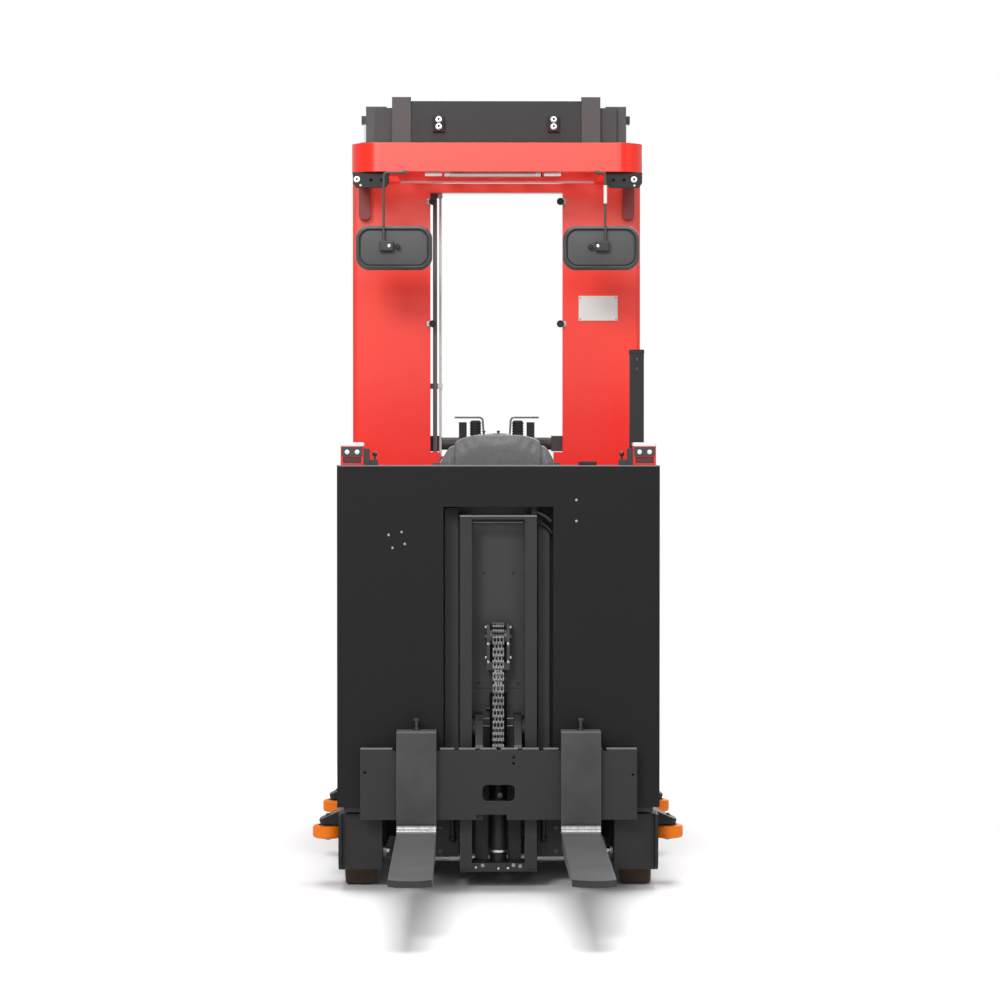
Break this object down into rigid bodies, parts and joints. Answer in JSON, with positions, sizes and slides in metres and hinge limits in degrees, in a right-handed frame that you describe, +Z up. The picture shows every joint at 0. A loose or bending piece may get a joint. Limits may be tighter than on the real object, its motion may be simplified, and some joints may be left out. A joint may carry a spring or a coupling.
{
  "type": "order picker",
  "caption": "Man-up order picker: cabin with seat and mirrors on a telescoping mast, forks on a short second mast, straddle legs, guide rollers and a steered drive wheel.",
  "frame": {"origin": "on the floor, on the truck's centre line, midway between the fork tips and the tail", "axes": "+X to the right seen from the fork end, +Y from the fork tips to the tail, +Z up"},
  "size_m": [1.169, 3.42, 2.552],
  "materials": {
    "black_paint": "satin",
    "mast_paint": "satin",
    "fork_steel": "satin, worn",
    "red_paint": "gloss",
    "steel": "oiled",
    "chrome_rod": "polished",
    "battery_case": "matte",
    "motor_case": "matte",
    "dark_tread": "matte",
    "orange_tread": "satin",
    "rubber": "matte",
    "black_plastic": "grained",
    "lamp_white": "satin",
    "seat_skin": "grained vinyl"
  },
  "bodies": {
    "chassis": {"chassis_frame": "black_paint", "leg_right": "black_paint", "leg_left": "black_paint", "load_axles": "steel", "battery": "battery_case", "battery_cover": "black_paint", "tail_cover": "red_paint", "outer_mast": "mast_paint", "lift_barrels": "black_paint", "guide_arms": "black_paint"},
    "right_load_wheel": {"load_wheel_right": "dark_tread"},
    "left_load_wheel": {"load_wheel_left": "dark_tread"},
    "front_right_guide": {"guide_roller_front_right": "orange_tread"},
    "front_left_guide": {"guide_roller_front_left": "orange_tread"},
    "rear_right_guide": {"guide_roller_rear_right": "orange_tread"},
    "rear_left_guide": {"guide_roller_rear_left": "orange_tread"},
    "steer_unit": {"drive_yoke": "black_paint", "drive_motor": "motor_case"},
    "driven_wheel": {"drive_wheel": "dark_tread"},
    "middle_stage": {"middle_mast": "mast_paint", "lift_rods": "chrome_rod"},
    "inner_stage": {"inner_mast": "mast_paint", "stop_blocks": "rubber"},
    "cabin": {"cab_carriage": "mast_paint", "cab_floor": "black_paint", "front_panel": "black_paint", "mast_well": "black_paint", "post_right": "red_paint", "post_left": "red_paint", "post_tie": "red_paint", "overhead_guard": "red_paint", "roof_beam": "red_paint", "roof_lamp": "lamp_white", "mirror_arms": "steel", "mirror_right": "black_plastic", "mirror_left": "black_plastic", "seat_back": "seat_skin", "seat_cushion": "seat_skin", "seat_frame": "black_paint", "console": "black_plastic", "hand_grips": "rubber", "hand_guards": "steel", "light_boxes": "red_paint", "gate_pins": "steel", "cab_pipes": "black_plastic", "cab_crossbar": "mast_paint", "aux_mast": "mast_paint", "foot_plates": "black_paint", "aux_barrel": "black_paint"},
    "rod_head": {"aux_rod": "chrome_rod", "crosshead": "steel", "lift_chain": "steel"},
    "fork_unit": {"fork_carriage": "mast_paint", "forks": "fork_steel", "fork_pins": "steel"},
    "right_gate": {"gate_right": "black_paint"},
    "left_gate": {"gate_left": "black_paint"}
  },
  "joints": [
    {"name": "right_load_wheel_spin", "type": "hinge", "parent": "chassis", "child": "right_load_wheel", "pos_m": [0.432, -0.36, 0.105], "axis": [1, 0, 0], "continuous": true},
    {"name": "left_load_wheel_spin", "type": "hinge", "parent": "chassis", "child": "left_load_wheel", "pos_m": [-0.432, -0.36, 0.105], "axis": [1, 0, 0], "continuous": true},
    {"name": "front_right_guide_spin", "type": "hinge", "parent": "chassis", "child": "front_right_guide", "pos_m": [0.5365, -0.36, 0.166], "axis": [0, 0, 1], "continuous": true},
    {"name": "front_left_guide_spin", "type": "hinge", "parent": "chassis", "child": "front_left_guide", "pos_m": [-0.5365, -0.36, 0.166], "axis": [0, 0, 1], "continuous": true},
    {"name": "rear_right_guide_spin", "type": "hinge", "parent": "chassis", "child": "rear_right_guide", "pos_m": [0.5365, 0.345, 0.166], "axis": [0, 0, 1], "continuous": true},
    {"name": "rear_left_guide_spin", "type": "hinge", "parent": "chassis", "child": "rear_left_guide", "pos_m": [-0.5365, 0.345, 0.166], "axis": [0, 0, 1], "continuous": true},
    {"name": "steer", "type": "hinge", "parent": "chassis", "child": "steer_unit", "pos_m": [0, 1.34, 0.165], "axis": [0, 0, 1], "range_deg": [-90, 90]},
    {"name": "driven_wheel_spin", "type": "hinge", "parent": "steer_unit", "child": "driven_wheel", "pos_m": [0, 1.34, 0.165], "axis": [1, 0, 0], "continuous": true},
    {"name": "mast_lift", "type": "slide", "parent": "chassis", "child": "middle_stage", "axis": [0, 0, 1], "range_m": [0, 1.5]},
    {"name": "inner_lift", "type": "slide", "parent": "middle_stage", "child": "inner_stage", "axis": [0, 0, 1], "range_m": [0, 1.5]},
    {"name": "cabin_lift", "type": "slide", "parent": "inner_stage", "child": "cabin", "axis": [0, 0, 1], "range_m": [0, 1.5]},
    {"name": "fork_lift", "type": "slide", "parent": "cabin", "child": "fork_unit", "axis": [0, 0, 1], "range_m": [-0.13, 0.6]},
    {"name": "rod_head_lift", "type": "slide", "parent": "cabin", "child": "rod_head", "axis": [0, 0, 1], "range_m": [-0.065, 0.3], "deforming": ["lift_chain"]},
    {"name": "right_gate_swing", "type": "hinge", "parent": "cabin", "child": "right_gate", "pos_m": [0.434, -0.415, 1.215], "axis": [1, 0, 0], "range_deg": [-90, 0]},
    {"name": "left_gate_swing", "type": "hinge", "parent": "cabin", "child": "left_gate", "pos_m": [-0.434, -0.415, 1.215], "axis": [1, 0, 0], "range_deg": [0, 90]}
  ],
  "couplings": [
    {"joint": "inner_lift", "follows": "mast_lift", "ratio": 1},
    {"joint": "cabin_lift", "follows": "mast_lift", "ratio": 1},
    {"joint": "rod_head_lift", "follows": "fork_lift", "ratio": 0.5}
  ]
}
